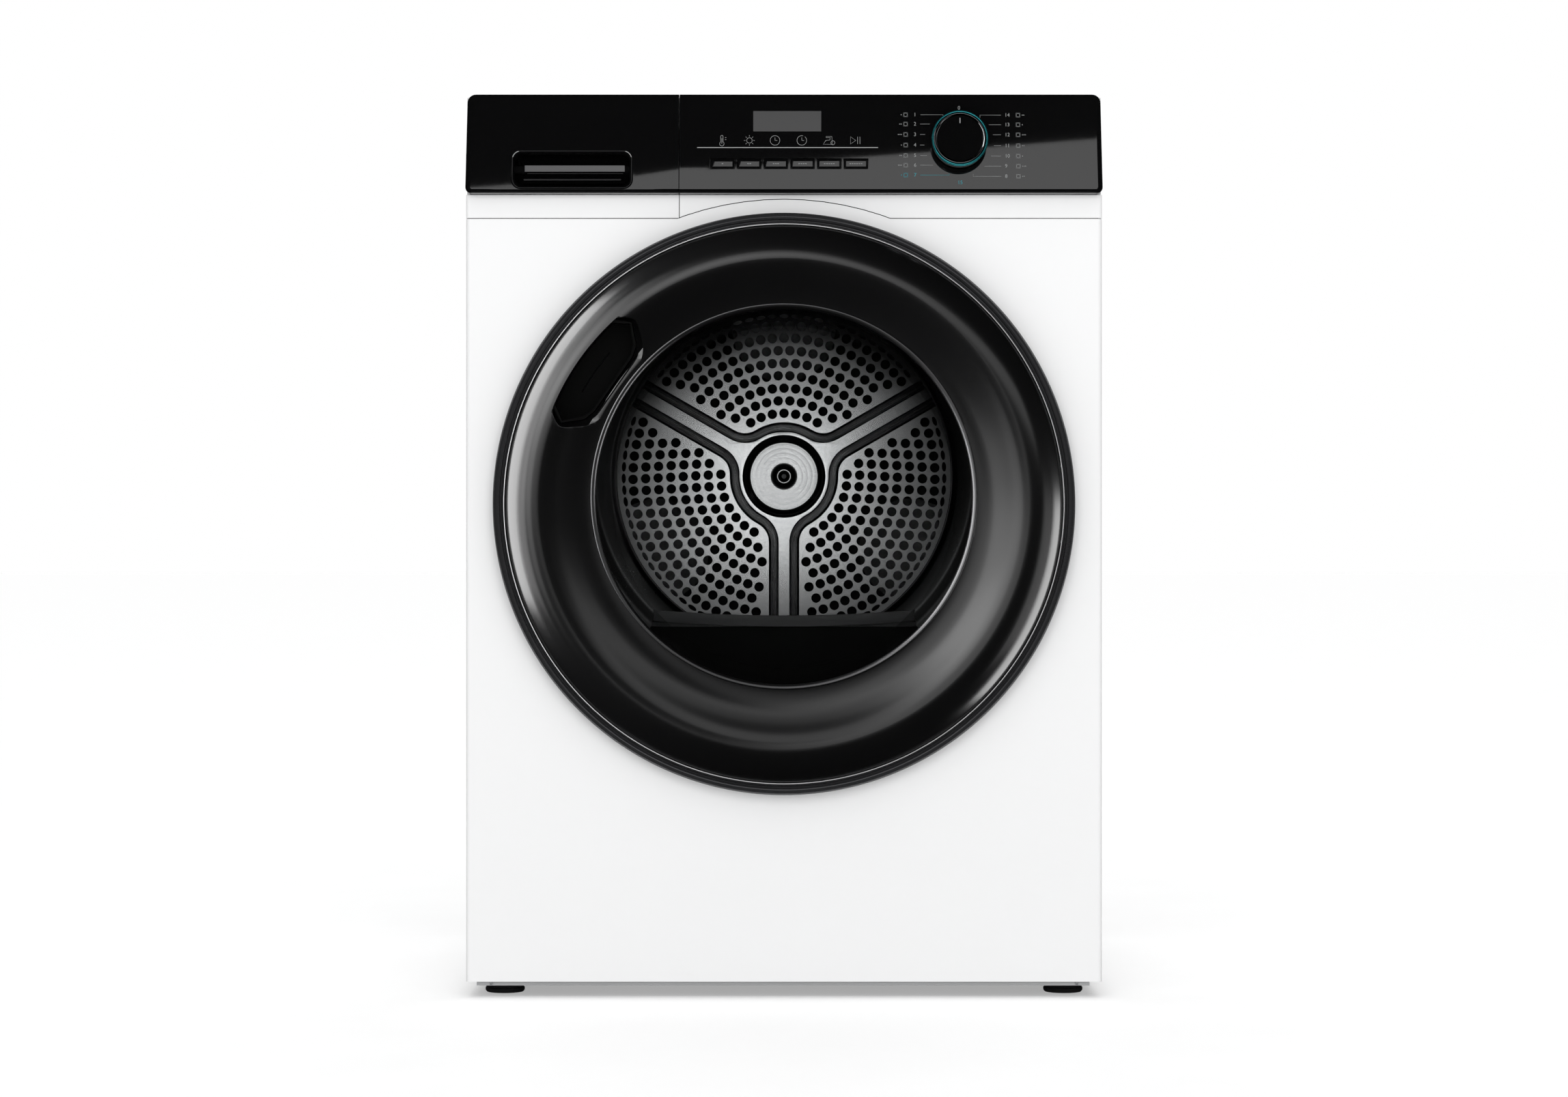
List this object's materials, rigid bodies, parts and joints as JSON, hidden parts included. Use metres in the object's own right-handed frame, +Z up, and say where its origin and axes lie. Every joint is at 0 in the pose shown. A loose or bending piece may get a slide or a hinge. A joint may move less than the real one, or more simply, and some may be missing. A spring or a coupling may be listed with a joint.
{
  "type": "clothes dryer",
  "caption": "Front-loading tumble dryer with a round porthole door, drum and belt drive, heat pump, pull-out water tank and leaning control panel.",
  "frame": {"origin": "on the floor, under the middle of the machine's outer box", "axes": "+X to the right as one faces the machine, +Y to its rear, +Z up; the door faces -Y"},
  "size_m": [0.595, 0.6, 0.845],
  "materials": {
    "white_painted_steel": "satin white enamel",
    "white_board": "white laminate, satin",
    "white_plastic": "satin white",
    "black_gloss": "high-gloss piano black",
    "black_plastic": "satin black",
    "grey_plastic": "fine matt",
    "ring_grey": "dark metallic lacquer",
    "bowl_glass": "polished clear",
    "display_glass": "polished, smoked",
    "drum_steel": "bright stainless",
    "zinc_steel": "galvanised",
    "rubber": "matt",
    "fins": "mill finish",
    "cast_case": "black painted casting",
    "teal_ring": "teal-tinted bright ring"
  },
  "bodies": {
    "cabinet": {"base_pan": "black_plastic", "left_side_panel": "white_painted_steel", "right_side_panel": "white_painted_steel", "front_panel": "white_painted_steel", "rear_panel": "zinc_steel", "rear_duct_cover": "zinc_steel", "worktop_frame": "white_plastic", "worktop_board": "white_board", "front_bulkhead": "grey_plastic", "rear_bulkhead": "zinc_steel", "fascia_black": "black_gloss", "fascia_white_strip": "white_plastic", "display_window": "display_glass", "control_unit": "grey_plastic", "mains_gland": "black_plastic", "door_hinge_bracket": "zinc_steel", "latch_catch": "black_plastic", "tank_sleeve": "grey_plastic", "drum_belt": "rubber", "motor_body": "cast_case", "filter_housing": "black_plastic", "compressor": "cast_case", "evaporator": "fins", "condenser": "fins"},
    "door": {"door_ring": "ring_grey", "door_dish": "black_gloss", "door_handle_cup": "black_plastic", "door_glass": "bowl_glass", "door_inner_frame": "black_plastic", "door_seal": "rubber", "door_hinge_arm": "zinc_steel", "latch_hook": "black_plastic"},
    "tank": {"tank_front_black": "black_gloss", "tank_front_white": "white_plastic", "tank_grip": "black_plastic", "tank_body": "grey_plastic"},
    "dial": {"dial_knob": "black_gloss", "dial_ring": "teal_ring"},
    "drum": {"drum_shell": "drum_steel", "drum_back": "drum_steel", "drum_lifter_1": "grey_plastic", "drum_lifter_2": "grey_plastic", "drum_lifter_3": "grey_plastic", "drum_shaft": "zinc_steel"},
    "rotor": {"motor_rotor": "zinc_steel"},
    "idler_lever": {"idler_arm": "zinc_steel"},
    "idler": {"idler_pulley": "black_plastic"},
    "roller_left": {"drum_roller_left": "rubber"},
    "roller_right": {"drum_roller_right": "rubber"},
    "filter": {"lint_filter": "black_plastic"},
    "button_1": {"button_1": "black_gloss"},
    "button_2": {"button_2": "black_gloss"},
    "button_3": {"button_3": "black_gloss"},
    "button_4": {"button_4": "black_gloss"},
    "button_5": {"button_5": "black_gloss"},
    "button_6": {"button_6": "black_gloss"},
    "foot_front_left": {"foot_front_left": "black_plastic"},
    "foot_front_right": {"foot_front_right": "black_plastic"},
    "foot_rear_left": {"foot_rear_left": "black_plastic"},
    "foot_rear_right": {"foot_rear_right": "black_plastic"}
  },
  "joints": [
    {"name": "door_hinge", "type": "hinge", "parent": "cabinet", "child": "door", "pos_m": [0.259, -0.2785, 0.4615], "axis": [0, 0, 1], "range_deg": [0, 112]},
    {"name": "tank_slide", "type": "slide", "parent": "cabinet", "child": "tank", "axis": [0, -1, 0], "range_m": [0, 0.4]},
    {"name": "dial_spin", "type": "hinge", "parent": "cabinet", "child": "dial", "pos_m": [0.1634, -0.27357, 0.799], "axis": [0, -0.9936, 0.1132], "continuous": true},
    {"name": "button_1_press", "type": "slide", "parent": "cabinet", "child": "button_1", "axis": [0, 0.9936, -0.1132], "range_m": [0, 0.0012], "stiffness_N_per_m": 800},
    {"name": "button_2_press", "type": "slide", "parent": "cabinet", "child": "button_2", "axis": [0, 0.9936, -0.1132], "range_m": [0, 0.0012], "stiffness_N_per_m": 800},
    {"name": "button_3_press", "type": "slide", "parent": "cabinet", "child": "button_3", "axis": [0, 0.9936, -0.1132], "range_m": [0, 0.0012], "stiffness_N_per_m": 800},
    {"name": "button_4_press", "type": "slide", "parent": "cabinet", "child": "button_4", "axis": [0, 0.9936, -0.1132], "range_m": [0, 0.0012], "stiffness_N_per_m": 800},
    {"name": "button_5_press", "type": "slide", "parent": "cabinet", "child": "button_5", "axis": [0, 0.9936, -0.1132], "range_m": [0, 0.0012], "stiffness_N_per_m": 800},
    {"name": "button_6_press", "type": "slide", "parent": "cabinet", "child": "button_6", "axis": [0, 0.9936, -0.1132], "range_m": [0, 0.0012], "stiffness_N_per_m": 800},
    {"name": "drum_spin", "type": "hinge", "parent": "cabinet", "child": "drum", "pos_m": [0, 0, 0.4965], "axis": [0, 1, 0], "continuous": true},
    {"name": "rotor_spin", "type": "hinge", "parent": "cabinet", "child": "rotor", "pos_m": [0.1, 0, 0.13], "axis": [0, 1, 0], "continuous": true},
    {"name": "idler_lever_pivot", "type": "hinge", "parent": "cabinet", "child": "idler_lever", "pos_m": [0.062, 0.0855, 0.106], "axis": [0, 1, 0], "range_deg": [0, 12], "stiffness_Nm_per_rad": 2, "springref_deg": -17.19},
    {"name": "idler_spin", "type": "hinge", "parent": "idler_lever", "child": "idler", "pos_m": [0.03, 0.075, 0.145], "axis": [0, 1, 0], "continuous": true},
    {"name": "roller_left_spin", "type": "hinge", "parent": "cabinet", "child": "roller_left", "pos_m": [-0.16587, -0.1695, 0.23106], "axis": [0, 1, 0], "continuous": true},
    {"name": "roller_right_spin", "type": "hinge", "parent": "cabinet", "child": "roller_right", "pos_m": [0.16587, -0.1695, 0.23106], "axis": [0, 1, 0], "continuous": true},
    {"name": "filter_lift", "type": "slide", "parent": "cabinet", "child": "filter", "axis": [0, 0, 1], "range_m": [0, 0.1]},
    {"name": "foot_front_left_turn", "type": "hinge", "parent": "cabinet", "child": "foot_front_left", "pos_m": [-0.2645, -0.215, 0.005], "axis": [0, 0, 1], "continuous": true},
    {"name": "foot_front_right_turn", "type": "hinge", "parent": "cabinet", "child": "foot_front_right", "pos_m": [0.2645, -0.215, 0.005], "axis": [0, 0, 1], "continuous": true},
    {"name": "foot_rear_left_turn", "type": "hinge", "parent": "cabinet", "child": "foot_rear_left", "pos_m": [-0.2645, 0.245, 0.005], "axis": [0, 0, 1], "continuous": true},
    {"name": "foot_rear_right_turn", "type": "hinge", "parent": "cabinet", "child": "foot_rear_right", "pos_m": [0.2645, 0.245, 0.005], "axis": [0, 0, 1], "continuous": true}
  ],
  "couplings": [
    {"joint": "rotor_spin", "follows": "drum_spin", "ratio": 44.231},
    {"joint": "idler_spin", "follows": "drum_spin", "ratio": 15.972},
    {"joint": "roller_left_spin", "follows": "drum_spin", "ratio": -11.5},
    {"joint": "roller_right_spin", "follows": "drum_spin", "ratio": -11.5}
  ]
}
